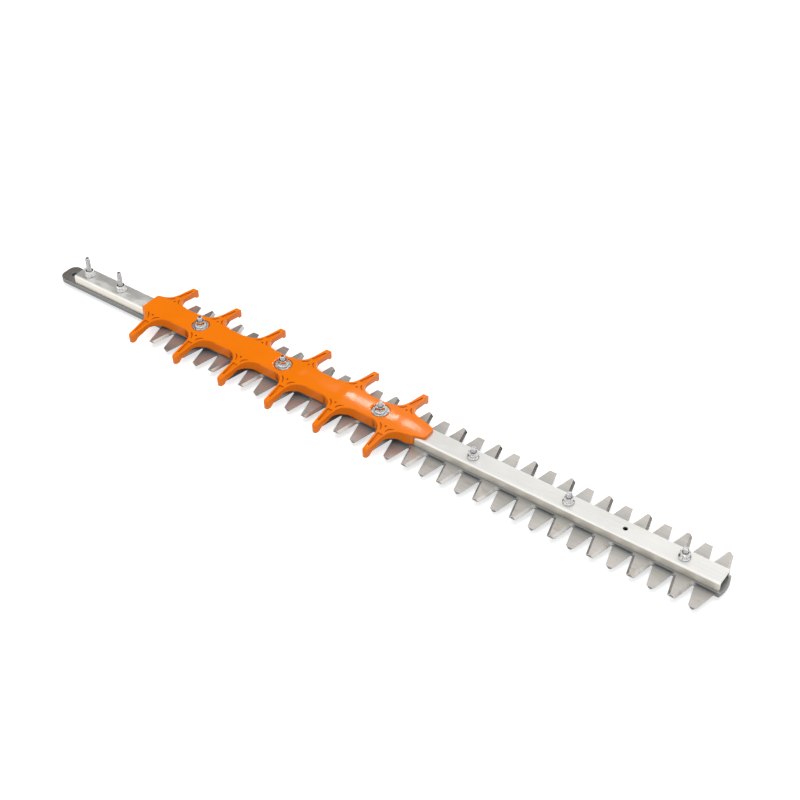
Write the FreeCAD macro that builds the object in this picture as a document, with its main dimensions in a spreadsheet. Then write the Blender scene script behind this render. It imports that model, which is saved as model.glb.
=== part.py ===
"""Double-sided hedge trimmer cutter bar: guide rail, two sliding blades, finger guard and fasteners.

Frame: the origin lies midway between the two fixing studs of the drive end, on the rail's top face.
+X runs along the bar to its tip, +Y across it, +Z up from the blades through the rail. Millimetres.
"""
import FreeCAD, Part
import math
import os

import Sketcher

DOC = FreeCAD.newDocument("cutter_bar")
SHEET = DOC.addObject("Spreadsheet::Sheet", "sizes")

# Driving sizes, in millimetres
SIZES = {
    # guide rail
    "rail_start": -35.0,
    "rail_setback": 3.4,
    "rail_width": 20.0,
    "rail_height": 9.5,
    "rail_wall": 2.0,
    "rail_corner": 2.2,
    "rail_inner_corner": 0.8,
    "oil_hole": 4.5,
    # stations of the collar screws along the bar
    "stud_spacing": 44.0,
    "guard_screw_one": 129.0,
    "guard_screw_two": 233.0,
    "guard_screw_three": 347.5,
    "bar_screw_one": 449.0,
    "bar_screw_two": 546.5,
    "end_screw_inset": 26.0,
    # blades
    "blade_thickness": 2.5,
    "spine_width": 23.5,
    "eye_station": -46.0,
    "eye_bore": 7.0,
    "eye_margin": 12.0,
    "drive_end_flat": 7.0,
    "end_overhang": 14.4,
    "end_radius": 36.0,
    "tooth_pitch": 38.0,
    "tooth_count": 16.0,
    "last_tooth": 683.0,
    "tooth_reach": 35.3,
    "tooth_root_width": 18.6,
    "tooth_tip_width": 7.4,
    "tooth_overlap": 2.0,
    "bevel_width": 2.4,
    "root_radius": 3.6,
    "tip_radius": 1.2,
    "stroke": 19.0,
    "running_gap": 0.1,
    "side_clearance": 0.3,
    # collar screws, glide washers and nuts
    "collar_width": 9.0,
    "head_width": 14.0,
    "head_height": 3.0,
    "head_edge": 0.6,
    "socket_flats": 4.0,
    "socket_depth": 1.8,
    "thread_width": 5.0,
    "thread_lead": 0.7,
    "thread_clearance": 0.4,
    "glide_thickness": 1.2,
    "glide_width": 18.0,
    "nut_flats": 8.0,
    "nut_height": 6.2,
    "flange_width": 11.0,
    "flange_top_width": 7.2,
    "flange_rim": 0.9,
    "flange_slope": 1.3,
    "drive_stud_height": 21.5,
    "guard_stud_height": 13.0,
    "bar_stud_height": 10.8,
    # finger guard
    "guard_start": 61.5,
    "guard_end": 402.0,
    "guard_plate": 2.4,
    "guard_wall": 2.4,
    "guard_fit": 0.3,
    "guard_skirt": 8.6,
    "guard_corner": 1.2,
    "start_round": 2.5,
    "nose_length": 17.0,
    "nose_width": 10.0,
    "nose_round": 3.0,
    "recess_width": 18.0,
    "recess_depth": 0.8,
    "washer_width": 16.0,
    "washer_thickness": 1.0,
    # fingers of the guard
    "finger_pitch": 57.0,
    "finger_count": 6.0,
    "first_finger": 80.0,
    "finger_reach": 48.0,
    "finger_width": 5.4,
    "finger_tip_width": 4.8,
    "finger_shift": 2.7,
    "finger_lean": 3.2,
    "sweep_flare": 20.0,
    "tight_flare": 13.0,
    "finger_droop": 4.0,
    "finger_depth": 6.4,
    "finger_root_depth": 9.4,
    "hook_depth": 13.1,
    "hook_length": 4.6,
    "hook_lean": 2.6,
    "tip_round": 2.0,
    "brow_round": 4.0,
    # sunk marks on top of each finger
    "mark_depth": 0.9,
    "mark_rim": 2.6,
    "mark_swell": 1.4,
    "mark_length": 9.6,
    "dimple_width": 2.0,
    "dimple_inset": 0.6,
    "groove_start": 11.0,
    "groove_length": 17.0,
    "groove_width": 3.6,
    "groove_end_width": 1.0,
}


class Dim:
    """A length with its number and the sheet formula that gives it."""

    def __init__(self, value, text):
        self.value = value
        self.text = text

    def _join(self, other, sign, value):
        return Dim(value, "(%s %s %s)" % (self.text, sign, other.text))

    def __add__(self, other):
        other = dim(other)
        return self._join(other, "+", self.value + other.value)

    def __sub__(self, other):
        other = dim(other)
        return self._join(other, "-", self.value - other.value)

    def __mul__(self, other):
        other = dim(other)
        return self._join(other, "*", self.value * other.value)

    def __truediv__(self, other):
        other = dim(other)
        return self._join(other, "/", self.value / other.value)

    def __neg__(self):
        return self * -1.0

    def root(self):
        """The square root of a product of two lengths."""
        return Dim(math.sqrt(self.value), "sqrt(%s)" % self.text)


def dim(source):
    """A Dim from a sheet name, a plain number or a Dim."""
    if isinstance(source, Dim):
        return source
    if isinstance(source, str):
        return Dim(SIZES[source], "sizes." + source)
    return Dim(float(source), "(%r)" % float(source))


def fill_sheet():
    """One row per size: its name in column A, its number in column B."""
    for row_number, (alias, number) in enumerate(SIZES.items(), start=1):
        SHEET.set("A%d" % row_number, alias)
        SHEET.set("B%d" % row_number, repr(number))
        SHEET.setAlias("B%d" % row_number, alias)
    DOC.recompute()


def bind(obj, prop, size):
    """Tie a property of an object to a sheet formula."""
    obj.setExpression(prop, dim(size).text)


def new_body(name, x=0.0, z=0.0):
    """An empty body whose place is tied to the sheet."""
    body = DOC.addObject("PartDesign::Body", name)
    body.Label = name
    bind(body, "Placement.Base.x", x)
    bind(body, "Placement.Base.z", z)
    return body


def copy_body(master, name, x=0.0, z=0.0):
    """Another piece of the same make as master, at its own place."""
    body = new_body(name, x, z)
    twin = body.newObject("PartDesign::FeatureBase", name + "_twin")
    twin.BaseFeature = master
    body.Tip = twin
    return body


def origin_plane(body, role):
    """One of the body's own origin planes or axes."""
    return next(f for f in body.Origin.OriginFeatures if f.Role == role)


def new_sketch(body, name, plane, offset=0.0):
    """A sketch on one of the body's planes, moved along the plane's normal."""
    sketch = body.newObject("Sketcher::SketchObject", name)
    sketch.AttachmentSupport = (origin_plane(body, plane), [""])
    sketch.MapMode = "FlatFace"
    bind(sketch, "AttachmentOffset.Base.z", offset)
    return sketch


def settle(sketch, rules):
    """Add a sketch's constraints at once, and tie those that have a size to the sheet."""
    first = sketch.ConstraintCount
    sketch.addConstraint([rule for rule, size in rules])
    for index, (rule, size) in enumerate(rules, start=first):
        if size is not None:
            sketch.setExpression("Constraints[%d]" % index, size.text)


def held(geo, end, x, y):
    """The rules that hold a point of the sketch at x, y from the sketch's origin."""
    rules = []
    for kind, axis, size in (("DistanceX", -2, dim(x)), ("DistanceY", -1, dim(y))):
        if abs(size.value) < 1e-9:
            rules.append((Sketcher.Constraint("PointOnObject", geo, end, axis), None))
        else:
            rules.append((Sketcher.Constraint(kind, -1, 1, geo, end, size.value), size))
    return rules


def arc_between(start, end, radius, left):
    """The short arc from start to end with its centre on the left or right of the way there."""
    half = (end - start) * 0.5
    rise = math.sqrt(max(radius**2 - half.Length**2, 0.0))
    across = FreeCAD.Vector(-half.y, half.x, 0).normalize()
    centre = start + half + across * (rise if left else -rise)
    angles = [math.atan2(p.y - centre.y, p.x - centre.x) for p in (start, end)]
    if not left:
        angles.reverse()
    if angles[1] < angles[0]:
        angles[1] += 2 * math.pi
    return Part.ArcOfCircle(Part.Circle(centre, FreeCAD.Vector(0, 0, 1), radius), *angles)


def outline(sketch, corners):
    """A closed outline. Each corner is (x, y), or (x, y, radius) where an arc runs to the next corner.

    A positive radius has its centre on the left of the way round, a negative one on the right.
    """
    points = [FreeCAD.Vector(dim(c[0]).value, dim(c[1]).value, 0) for c in corners]
    pieces, rules = [], []
    for i, corner in enumerate(corners):
        start, end = points[i], points[(i + 1) % len(points)]
        if len(corner) == 2:
            geo = sketch.addGeometry(Part.LineSegment(start, end), False)
            pieces.append((geo, 1, 2))
            continue
        radius = dim(corner[2])
        left = radius.value > 0
        size = radius if left else -radius
        geo = sketch.addGeometry(arc_between(start, end, size.value, left), False)
        rules.append((Sketcher.Constraint("Radius", geo, size.value), size))
        pieces.append((geo, 1, 2) if left else (geo, 2, 1))
    for i, (geo, near_end, far_end) in enumerate(pieces):
        follower, follower_end = pieces[(i + 1) % len(pieces)][:2]
        rules.append((Sketcher.Constraint("Coincident", geo, far_end, follower, follower_end), None))
        rules += held(geo, near_end, corners[i][0], corners[i][1])
    settle(sketch, rules)


def circle(sketch, x, y, width):
    """A full circle, given by its diameter."""
    centre = FreeCAD.Vector(dim(x).value, dim(y).value, 0)
    radius = dim(width) / 2
    geo = sketch.addGeometry(Part.Circle(centre, FreeCAD.Vector(0, 0, 1), radius.value), False)
    settle(sketch, held(geo, 3, x, y) + [(Sketcher.Constraint("Radius", geo, radius.value), radius)])


def pad(body, sketch, length, down=False):
    """Material from the sketch's outline, up or down from its plane."""
    feature = body.newObject("PartDesign::Pad", sketch.Name + "_pad")
    feature.Profile = sketch
    bind(feature, "Length", length)
    feature.Reversed = down
    return feature


def pocket(body, sketch, depth, up=False):
    """A cut with the sketch's outline, down or up from its plane. Faces that line up stay apart."""
    feature = body.newObject("PartDesign::Pocket", sketch.Name + "_cut")
    feature.Profile = sketch
    bind(feature, "Length", depth)
    feature.Reversed = up
    feature.Refine = False
    return feature


def revolve(body, sketch):
    """A full turn of the sketch's outline about its vertical axis. Faces that line up stay apart."""
    feature = body.newObject("PartDesign::Revolution", sketch.Name + "_turned")
    feature.Profile = sketch
    feature.ReferenceAxis = (sketch, ["V_Axis"])
    feature.Angle = 360.0
    feature.Refine = False
    return feature


def row(body, originals, pitch, count, towards_tip):
    """Repeat features along X, one pitch apart."""
    pattern = body.newObject("PartDesign::LinearPattern", originals[0].Name + "_row")
    pattern.Originals = originals
    pattern.Direction = (origin_plane(body, "X_Axis"), [""])
    pattern.Reversed = not towards_tip
    bind(pattern, "Length", dim(pitch) * (dim(count) - 1))
    bind(pattern, "Occurrences", count)
    body.Tip = pattern
    return pattern


# How far a cutting outline runs past the face that it opens
OVERCUT = dim(1.0)

# Bearings, in degrees, at which a finger's two curved slots lie from the centres of its flares
SWEEP_MARK_BEARING = -45.0
TIGHT_MARK_BEARING = 217.0

# Places that several pieces share
BLADE_END = dim("last_tooth") + "end_overhang"
RAIL_END = BLADE_END - "rail_setback"
SCREW_STATIONS = {
    "drive_end_front": dim("stud_spacing") / -2,
    "drive_end_rear": dim("stud_spacing") / 2,
    "guard_1": dim("guard_screw_one"),
    "guard_2": dim("guard_screw_two"),
    "guard_3": dim("guard_screw_three"),
    "bar_1": dim("bar_screw_one"),
    "bar_2": dim("bar_screw_two"),
    "bar_3": dim("last_tooth") - "end_screw_inset",
}
UPPER_TOP = -dim("rail_height") - "running_gap"
UPPER_FACE = UPPER_TOP - "blade_thickness"
LOWER_FACE = UPPER_FACE - "running_gap"
GLIDE_TOP = LOWER_FACE - "blade_thickness" - "running_gap"
HEAD_TOP = GLIDE_TOP - "glide_thickness"
COLLAR_TOP = -dim("rail_wall")
COLLAR_HOLE = dim("collar_width") + dim("side_clearance") * 2
SCREW_HOLE = dim("thread_width") + "thread_clearance"
GUARD_INNER = dim("rail_width") / 2 + "guard_fit"
GUARD_OUTER = GUARD_INNER + "guard_wall"
GUARD_FOOT = -dim("guard_skirt")
RECESS_FLOOR = dim("guard_plate") - "recess_depth"


def group_of(screw):
    """The stretch of the bar that a screw belongs to: drive_end, guard or bar."""
    return screw.rsplit("_", 1)[0]


def side_name(side):
    """The word for a side of the bar: far is +Y, near is -Y."""
    return "far" if side > 0 else "near"


def guide_rail():
    """Channel section with rounded shoulders, open downwards, over the blades."""
    body = new_body("guide_rail")
    half = dim("rail_width") / 2
    inner = half - "rail_wall"
    foot = -dim("rail_height")
    roof = -dim("rail_wall")
    bend = dim("rail_corner")
    nook = dim("rail_inner_corner")
    section = new_sketch(body, "rail_section", "YZ_Plane", "rail_start")
    outline(section, [
        (half, foot),
        (half, -bend, bend),
        (half - bend, 0.0),
        (bend - half, 0.0, bend),
        (-half, -bend),
        (-half, foot),
        (-inner, foot),
        (-inner, roof - nook, -nook),
        (nook - inner, roof),
        (inner - nook, roof, -nook),
        (inner, roof - nook),
        (inner, foot),
    ])
    pad(body, section, RAIL_END - "rail_start")
    holes = new_sketch(body, "rail_holes", "XY_Plane")
    for station in SCREW_STATIONS.values():
        circle(holes, station, 0.0, SCREW_HOLE)
    oil_station = (SCREW_STATIONS["bar_2"] + SCREW_STATIONS["bar_3"]) / 2
    circle(holes, oil_station, 0.0, "oil_hole")
    pocket(body, holes, dim("rail_wall") + OVERCUT)
    return body


def slot(sketch, x, half_length, width):
    """A round-ended slot along X."""
    end = dim(width) / 2
    run = dim(half_length) - end
    outline(sketch, [
        (x - run, -end),
        (x + run, -end, end),
        (x + run + end, 0.0, end),
        (x + run, end),
        (x - run, end, end),
        (x - run - end, 0.0, end),
    ])


def tooth_section(body, name, height, trim, first, side):
    """A tooth's outline at one height, narrower by trim on each flank, with rounded roots and tip."""
    sketch = new_sketch(body, name, "XY_Plane", height)
    edge = dim("spine_width") / 2
    reach = dim("tooth_reach")
    root = dim("tooth_root_width") / 2 - trim
    tip = dim("tooth_tip_width") / 2 - trim
    narrowing, rise = root - tip, reach - edge
    flank = (narrowing * narrowing + rise * rise).root()
    tangent = (flank - narrowing) / rise
    along, out = narrowing / flank * tangent, rise / flank * tangent
    nook, nib = dim("root_radius"), dim("tip_radius")
    inside = edge - "tooth_overlap"
    outline(sketch, [
        (first - root - nook * tangent, inside * side),
        (first - root - nook * tangent, edge * side, nook * side),
        (first - root + nook * along, (edge + nook * out) * side),
        (first - tip - nib * along, (reach - nib * out) * side, nib * -side),
        (first - tip + nib * tangent, reach * side),
        (first + tip - nib * tangent, reach * side, nib * -side),
        (first + tip + nib * along, (reach - nib * out) * side),
        (first + root - nook * along, (edge + nook * out) * side, nook * side),
        (first + root + nook * tangent, edge * side),
        (first + root + nook * tangent, inside * side),
    ])
    return sketch


def blade_spine(body):
    """The blade's flat spine: snub drive end with round corners, gently rounded outer end."""
    half = dim("spine_width") / 2
    bow = dim("end_radius")
    corner = BLADE_END - bow + (bow * bow - half * half).root()
    flat = dim("drive_end_flat") / 2
    bend = half - flat
    start = dim("eye_station") - "eye_margin"
    spine = new_sketch(body, "blade_spine", "XY_Plane")
    outline(spine, [
        (start + bend, -half),
        (corner, -half, bow),
        (corner, half),
        (start + bend, half, bend),
        (start, flat),
        (start, -flat, bend),
    ])
    pad(body, spine, "blade_thickness")


def blade_teeth(body, side, first):
    """One side's row of teeth, ground to a bevel on both flanks and the tip."""
    flank = side_name(side)
    edge = tooth_section(body, "tooth_edge_" + flank, 0.0, dim(0.0), first, side)
    crown = tooth_section(
        body, "tooth_crown_" + flank, "blade_thickness", dim("bevel_width"), first, side
    )
    tooth = body.newObject("PartDesign::AdditiveLoft", "tooth_" + flank)
    tooth.Profile = edge
    tooth.Sections = [(crown, [""])]
    tooth.Ruled = True
    row(body, [tooth], "tooth_pitch", "tooth_count", towards_tip=False)


def blades():
    """The two blades: one part, drawn with its cutting face at z = 0 and its bevels up.

    The lower one is turned over about the bar's axis, so its bevels face down
    and its teeth stand half a pitch away from the upper one's.
    """
    upper = new_body("upper_blade", z=UPPER_FACE)
    blade_spine(upper)
    blade_teeth(upper, 1, dim("last_tooth"))
    blade_teeth(upper, -1, dim("last_tooth") - dim("tooth_pitch") / 2)
    reach = dim("stroke") / 2 + COLLAR_HOLE / 2
    for group in ("drive_end", "guard", "bar"):
        slots = new_sketch(upper, group + "_slots", "XY_Plane")
        for screw, station in SCREW_STATIONS.items():
            if group_of(screw) == group:
                slot(slots, station, reach, COLLAR_HOLE)
        pocket(upper, slots, dim("blade_thickness") + OVERCUT, up=True)
    bore = new_sketch(upper, "drive_eye", "XY_Plane")
    circle(bore, "eye_station", 0.0, "eye_bore")
    pocket(upper, bore, dim("blade_thickness") + OVERCUT, up=True)
    lower = copy_body(upper, "lower_blade", z=LOWER_FACE)
    lower.Placement.Rotation = FreeCAD.Rotation(FreeCAD.Vector(1, 0, 0), 180)
    return [upper, lower]


def turned(corner, side, first):
    """A finger's own corner (along, out, radius) on the far side, or turned half round for the near one."""
    return (first + corner[0] * side, corner[1] * side) + tuple(corner[2:])


def finger_blank(body, side, first):
    """A finger's plan shape at full depth. It leans towards +X on the far side, -X on the near one."""
    sweep, tight = dim("sweep_flare"), dim("tight_flare")
    nib = dim("tip_round")
    reach = dim("finger_reach")
    wall = GUARD_OUTER
    inside = GUARD_OUTER - "guard_corner"
    back = dim("finger_shift") - dim("finger_width") / 2
    front = dim("finger_shift") + dim("finger_width") / 2
    tip_back = dim("finger_lean") - dim("finger_tip_width") / 2
    tip_front = dim("finger_lean") + dim("finger_tip_width") / 2
    corners = [
        (back - sweep, inside),
        (back - sweep, wall, sweep),
        (back, wall + sweep),
        (tip_back, reach - nib, -nib),
        (tip_back + nib, reach),
        (tip_front - nib, reach, -nib),
        (tip_front, reach - nib),
        (front, wall + tight, tight),
        (front + tight, wall),
        (front + tight, inside),
    ]
    plan = new_sketch(body, "finger_plan_" + side_name(side), "XY_Plane", "guard_plate")
    outline(plan, [turned(corner, side, first) for corner in corners])
    return pad(body, plan, "hook_depth", down=True)


def finger_cuts(body, side, first):
    """The sloping brow with its blunt tip, and the hooked underside."""
    top = dim("guard_plate")
    reach = dim("finger_reach")
    wall = GUARD_OUTER
    inside = GUARD_OUTER - "guard_corner" - OVERCUT
    fall, brow = dim("finger_droop"), dim("brow_round")
    flare = dim("tight_flare")
    spread = dim("finger_shift") + "finger_width" + "sweep_flare" + OVERCUT
    below = top - "hook_depth" - OVERCUT
    brow_cut = new_sketch(body, "finger_brow_" + side_name(side), "YZ_Plane", first + spread)
    outline(brow_cut, [
        (wall * side, top),
        ((reach - brow) * side, top - fall, brow * -side),
        (reach * side, top - fall - brow),
        ((reach + OVERCUT) * side, top - fall - brow),
        ((reach + OVERCUT) * side, top + OVERCUT),
        (wall * side, top + OVERCUT),
    ])
    hook = reach - "hook_length"
    under_cut = new_sketch(body, "finger_under_" + side_name(side), "YZ_Plane", first + spread)
    outline(under_cut, [
        (inside * side, below),
        (inside * side, GUARD_FOOT),
        (wall * side, GUARD_FOOT),
        (wall * side, top - "finger_root_depth"),
        ((wall + flare) * side, top - "finger_depth"),
        ((hook - "hook_lean") * side, top - fall - "finger_depth"),
        (hook * side, top - "hook_depth"),
        (hook * side, below),
    ])
    return [pocket(body, brow_cut, spread * 2), pocket(body, under_cut, spread * 2)]


def crescent(sketch, flare_centre, flare, bearing, side, first):
    """A curved slot along a finger's flare, with its middle at a bearing from the flare's centre."""
    reach = dim(flare) + "mark_rim"
    half = dim("mark_length") / 2
    depth = (reach * reach - half * half).root()
    sag = reach - depth + "mark_swell"
    swollen = (half * half / sag + sag) / 2
    east, north = math.cos(math.radians(bearing)), math.sin(math.radians(bearing))
    middle = (flare_centre[0] + depth * east, flare_centre[1] + depth * north)
    start = (middle[0] + half * north, middle[1] - half * east, swollen)
    end = (middle[0] - half * north, middle[1] + half * east, -reach)
    outline(sketch, [turned(start, side, first), turned(end, side, first)])


def finger_marks(body, side, first):
    """Sunk marks along the sloping top: two curved slots, a dimple between them, a tapered groove."""
    run = dim("finger_reach") - "brow_round" - GUARD_OUTER
    fall = dim("finger_droop")
    sketch = new_sketch(body, "finger_marks_" + side_name(side), "XY_Plane", "guard_plate")
    slope = math.degrees(math.atan2(fall.value, run.value))
    sketch.AttachmentOffset.Rotation = FreeCAD.Rotation(FreeCAD.Vector(-side, 0, 0), slope)
    bind(sketch, "AttachmentOffset.Rotation.Angle", Dim(slope, "atan(%s)" % (fall / run).text))
    bind(sketch, "AttachmentOffset.Base.y", GUARD_OUTER * side)
    back = dim("finger_shift") - dim("finger_width") / 2
    front = dim("finger_shift") + dim("finger_width") / 2
    sweep, tight = dim("sweep_flare"), dim("tight_flare")
    crescent(sketch, (back - sweep, sweep), sweep, SWEEP_MARK_BEARING, side, first)
    crescent(sketch, (front + tight, tight), tight, TIGHT_MARK_BEARING, side, first)
    lean = dim("finger_lean")
    dimple = turned((lean / 2, dim("dimple_width") / 2 + "dimple_inset"), side, first)
    circle(sketch, dimple[0], dimple[1], "dimple_width")
    wide, narrow = dim("groove_width") / 2, dim("groove_end_width") / 2
    start = dim("groove_start")
    end = start + "groove_length"
    corners = [(lean / 2 - wide, start), (lean / 2 + wide, start), (lean + narrow, end), (lean - narrow, end)]
    outline(sketch, [turned(corner, side, first) for corner in corners])
    return pocket(body, sketch, "mark_depth")


def guard_shell(body):
    """The guard's channel over the rail."""
    outer, inner = GUARD_OUTER, GUARD_INNER
    top = dim("guard_plate")
    corner = dim("guard_corner")
    section = new_sketch(body, "guard_section", "YZ_Plane", "guard_start")
    outline(section, [
        (outer, GUARD_FOOT),
        (outer, top - corner, corner),
        (outer - corner, top),
        (corner - outer, top, corner),
        (-outer, top - corner),
        (-outer, GUARD_FOOT),
        (-inner, GUARD_FOOT),
        (-inner, 0.0),
        (inner, 0.0),
        (inner, GUARD_FOOT),
    ])
    pad(body, section, dim("guard_end") - "guard_start")


def guard_trims(body):
    """Rounded corners at the guard's start and its tapered nose, cut through the shell and the flares."""
    outer, top = GUARD_OUTER, dim("guard_plate")
    start, end = dim("guard_start"), dim("guard_end")
    before = start - "sweep_flare"
    bend, snub = dim("start_round"), dim("nose_round")
    nose = dim("nose_width") / 2
    for side in (1, -1):
        beside = (outer + OVERCUT) * side
        trims = new_sketch(body, "guard_trims_" + side_name(side), "XY_Plane", top)
        outline(trims, [
            (before, (outer - bend) * side),
            (start, (outer - bend) * side, bend * -side),
            (start + bend, outer * side),
            (start + bend, beside),
            (before, beside),
        ])
        outline(trims, [
            (end - "nose_length", beside),
            (end - "nose_length", outer * side),
            (end - snub, (nose + snub) * side, snub * -side),
            (end, nose * side),
            (end + OVERCUT, nose * side),
            (end + OVERCUT, beside),
        ])
        pocket(body, trims, top + "guard_skirt" + OVERCUT)


def finger_guard():
    """Moulded cover over the rail, with six hooked fingers on each side."""
    body = new_body("finger_guard")
    guard_shell(body)
    first = dim("first_finger")
    for side in (1, -1):
        features = [finger_blank(body, side, first)]
        features += finger_cuts(body, side, first)
        features.append(finger_marks(body, side, first))
        row(body, features, "finger_pitch", "finger_count", towards_tip=True)
    guard_trims(body)
    holes = new_sketch(body, "guard_holes", "XY_Plane", "guard_plate")
    recesses = new_sketch(body, "guard_recesses", "XY_Plane", "guard_plate")
    for screw, station in SCREW_STATIONS.items():
        if group_of(screw) == "guard":
            circle(holes, station, 0.0, SCREW_HOLE)
            circle(recesses, station, 0.0, "recess_width")
    pocket(body, recesses, "recess_depth")
    pocket(body, holes, dim("guard_plate") + OVERCUT)
    return body


def hexagon(sketch, flats):
    """A hexagon about the sketch's origin, given across its flats, with corners on the X axis."""
    apothem = dim(flats) / 2
    corner = apothem * (2 / math.sqrt(3))
    outline(sketch, [
        (corner, 0.0),
        (corner / 2, apothem),
        (corner / -2, apothem),
        (-corner, 0.0),
        (corner / -2, -apothem),
        (corner / 2, -apothem),
    ])


def collar_screw(body, nut_seat, height):
    """Low round head with a hexagon socket below, bearing collar through the blades, threaded stud."""
    thread = dim("thread_width") / 2
    collar = dim("collar_width") / 2
    head = dim("head_width") / 2
    edge = dim("head_edge")
    bottom = HEAD_TOP - "head_height"
    profile = new_sketch(body, body.Name + "_profile", "XZ_Plane")
    outline(profile, [
        (0.0, height),
        (thread - "thread_lead", height),
        (thread, dim(height) - "thread_lead"),
        (thread, nut_seat + "nut_height"),
        (thread, COLLAR_TOP),
        (collar, COLLAR_TOP),
        (collar, HEAD_TOP),
        (head, HEAD_TOP),
        (head, bottom + edge),
        (head - edge, bottom),
        (0.0, bottom),
    ])
    revolve(body, profile)
    socket = new_sketch(body, body.Name + "_socket", "XY_Plane", bottom)
    hexagon(socket, "socket_flats")
    pocket(body, socket, "socket_depth", up=True)


def flange_nut(body):
    """Hexagon nut on a conical flange."""
    hexes = new_sketch(body, "nut_hexagon", "XY_Plane")
    hexagon(hexes, "nut_flats")
    pad(body, hexes, "nut_height")
    rim = dim("flange_width") / 2
    slope_top = dim("flange_rim") + "flange_slope"
    skirt = new_sketch(body, "nut_flange", "XZ_Plane")
    outline(skirt, [
        (0.0, 0.0),
        (rim, 0.0),
        (rim, "flange_rim"),
        (dim("flange_top_width") / 2, slope_top),
        (0.0, slope_top),
    ])
    revolve(body, skirt)
    bore = new_sketch(body, "nut_bore", "XY_Plane", "nut_height")
    circle(bore, 0.0, 0.0, "thread_width")
    pocket(body, bore, dim("nut_height") + OVERCUT)


def washer(body, width, hole, thickness):
    """A flat ring."""
    ring = new_sketch(body, body.Name + "_ring", "XY_Plane")
    circle(ring, 0.0, 0.0, width)
    circle(ring, 0.0, 0.0, hole)
    pad(body, ring, thickness)


def one_of(made, kind, name, station, seat, make):
    """A piece at its station: the first of its kind is modelled, later ones are copies of it."""
    if kind in made:
        return copy_body(made[kind], name, station, seat)
    body = new_body(name, station, seat)
    make(body)
    made[kind] = body
    return body


def fasteners():
    """A collar screw, glide washer and flange nut at every station, with washers on the guard."""
    pieces, made = [], {}
    for screw, station in SCREW_STATIONS.items():
        group = group_of(screw)
        nut_seat = dim(0.0)
        if group == "guard":
            nut_seat = RECESS_FLOOR + "washer_thickness"
            pieces.append(one_of(
                made, "guard_washer", screw.replace("guard", "guard_washer"), station, RECESS_FLOOR,
                lambda body: washer(body, "washer_width", SCREW_HOLE, "washer_thickness"),
            ))
        pieces.append(one_of(
            made, group, "collar_screw_" + screw, station, 0.0,
            lambda body: collar_screw(body, nut_seat, group.replace("_end", "") + "_stud_height"),
        ))
        pieces.append(one_of(
            made, "glide_washer", "glide_washer_" + screw, station, HEAD_TOP,
            lambda body: washer(body, "glide_width", COLLAR_HOLE, "glide_thickness"),
        ))
        pieces.append(one_of(made, "flange_nut", "flange_nut_" + screw, station, nut_seat, flange_nut))
    return pieces


def check_and_export(pieces):
    """Refuse a failed object or an unsound solid, then write one file per piece."""
    DOC.recompute()
    for obj in DOC.Objects:
        if "Invalid" in obj.State or "Error" in obj.State:
            raise RuntimeError("%s failed: %s" % (obj.Name, obj.State))
    for piece in pieces:
        shape = piece.Shape
        if shape.isNull() or not shape.isValid() or len(shape.Solids) != 1:
            raise RuntimeError("%s is not one sound solid" % piece.Label)
    os.makedirs("parts", exist_ok=True)
    for piece in pieces:
        piece.Shape.exportStep("parts/%s.step" % piece.Label)
        box = piece.Shape.BoundBox
        print("%-28s %9.1f mm3  x %7.2f %7.2f  y %7.2f %7.2f  z %7.2f %7.2f" % (
            piece.Label, piece.Shape.Volume, box.XMin, box.XMax, box.YMin, box.YMax, box.ZMin, box.ZMax,
        ))


fill_sheet()
check_and_export([guide_rail()] + blades() + [finger_guard()] + fasteners())
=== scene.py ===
"""Looks of a hedge trimmer's cutter bar: ground steel, drawn alloy, moulded guard and zinc fasteners."""
import math

import bmesh
import bpy
from bpy.props import FloatProperty, FloatVectorProperty, IntProperty, PointerProperty
from mathutils import Matrix, Vector


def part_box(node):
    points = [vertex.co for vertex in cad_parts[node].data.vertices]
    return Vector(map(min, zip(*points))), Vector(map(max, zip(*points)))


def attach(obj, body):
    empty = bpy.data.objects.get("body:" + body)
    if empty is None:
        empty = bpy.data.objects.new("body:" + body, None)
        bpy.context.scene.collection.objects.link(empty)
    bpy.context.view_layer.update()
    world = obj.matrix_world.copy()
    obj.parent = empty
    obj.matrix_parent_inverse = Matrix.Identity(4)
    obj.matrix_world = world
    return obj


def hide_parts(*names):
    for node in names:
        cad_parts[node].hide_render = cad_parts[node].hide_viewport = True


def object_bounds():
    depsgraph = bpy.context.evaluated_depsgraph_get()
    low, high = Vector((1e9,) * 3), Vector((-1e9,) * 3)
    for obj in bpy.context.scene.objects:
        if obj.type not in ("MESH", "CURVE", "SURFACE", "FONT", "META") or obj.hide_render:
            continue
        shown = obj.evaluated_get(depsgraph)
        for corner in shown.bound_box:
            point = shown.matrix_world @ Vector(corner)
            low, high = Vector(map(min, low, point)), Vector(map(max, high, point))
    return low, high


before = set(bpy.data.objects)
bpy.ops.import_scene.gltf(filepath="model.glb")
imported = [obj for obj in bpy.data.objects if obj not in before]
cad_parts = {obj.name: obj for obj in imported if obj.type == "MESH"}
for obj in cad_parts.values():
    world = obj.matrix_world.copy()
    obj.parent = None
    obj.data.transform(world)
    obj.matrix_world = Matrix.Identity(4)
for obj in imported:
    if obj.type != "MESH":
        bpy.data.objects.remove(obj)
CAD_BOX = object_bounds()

bl_info = {
    "name": "Hedge Trimmer Cutter Bar",
    "version": (1, 0, 0),
    "blender": (4, 5, 0),
    "location": "View3D > Sidebar > Cutter Bar",
    "description": "Dresses the packed cutter bar with its finishes and fastener detail",
    "category": "Object",
}

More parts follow.
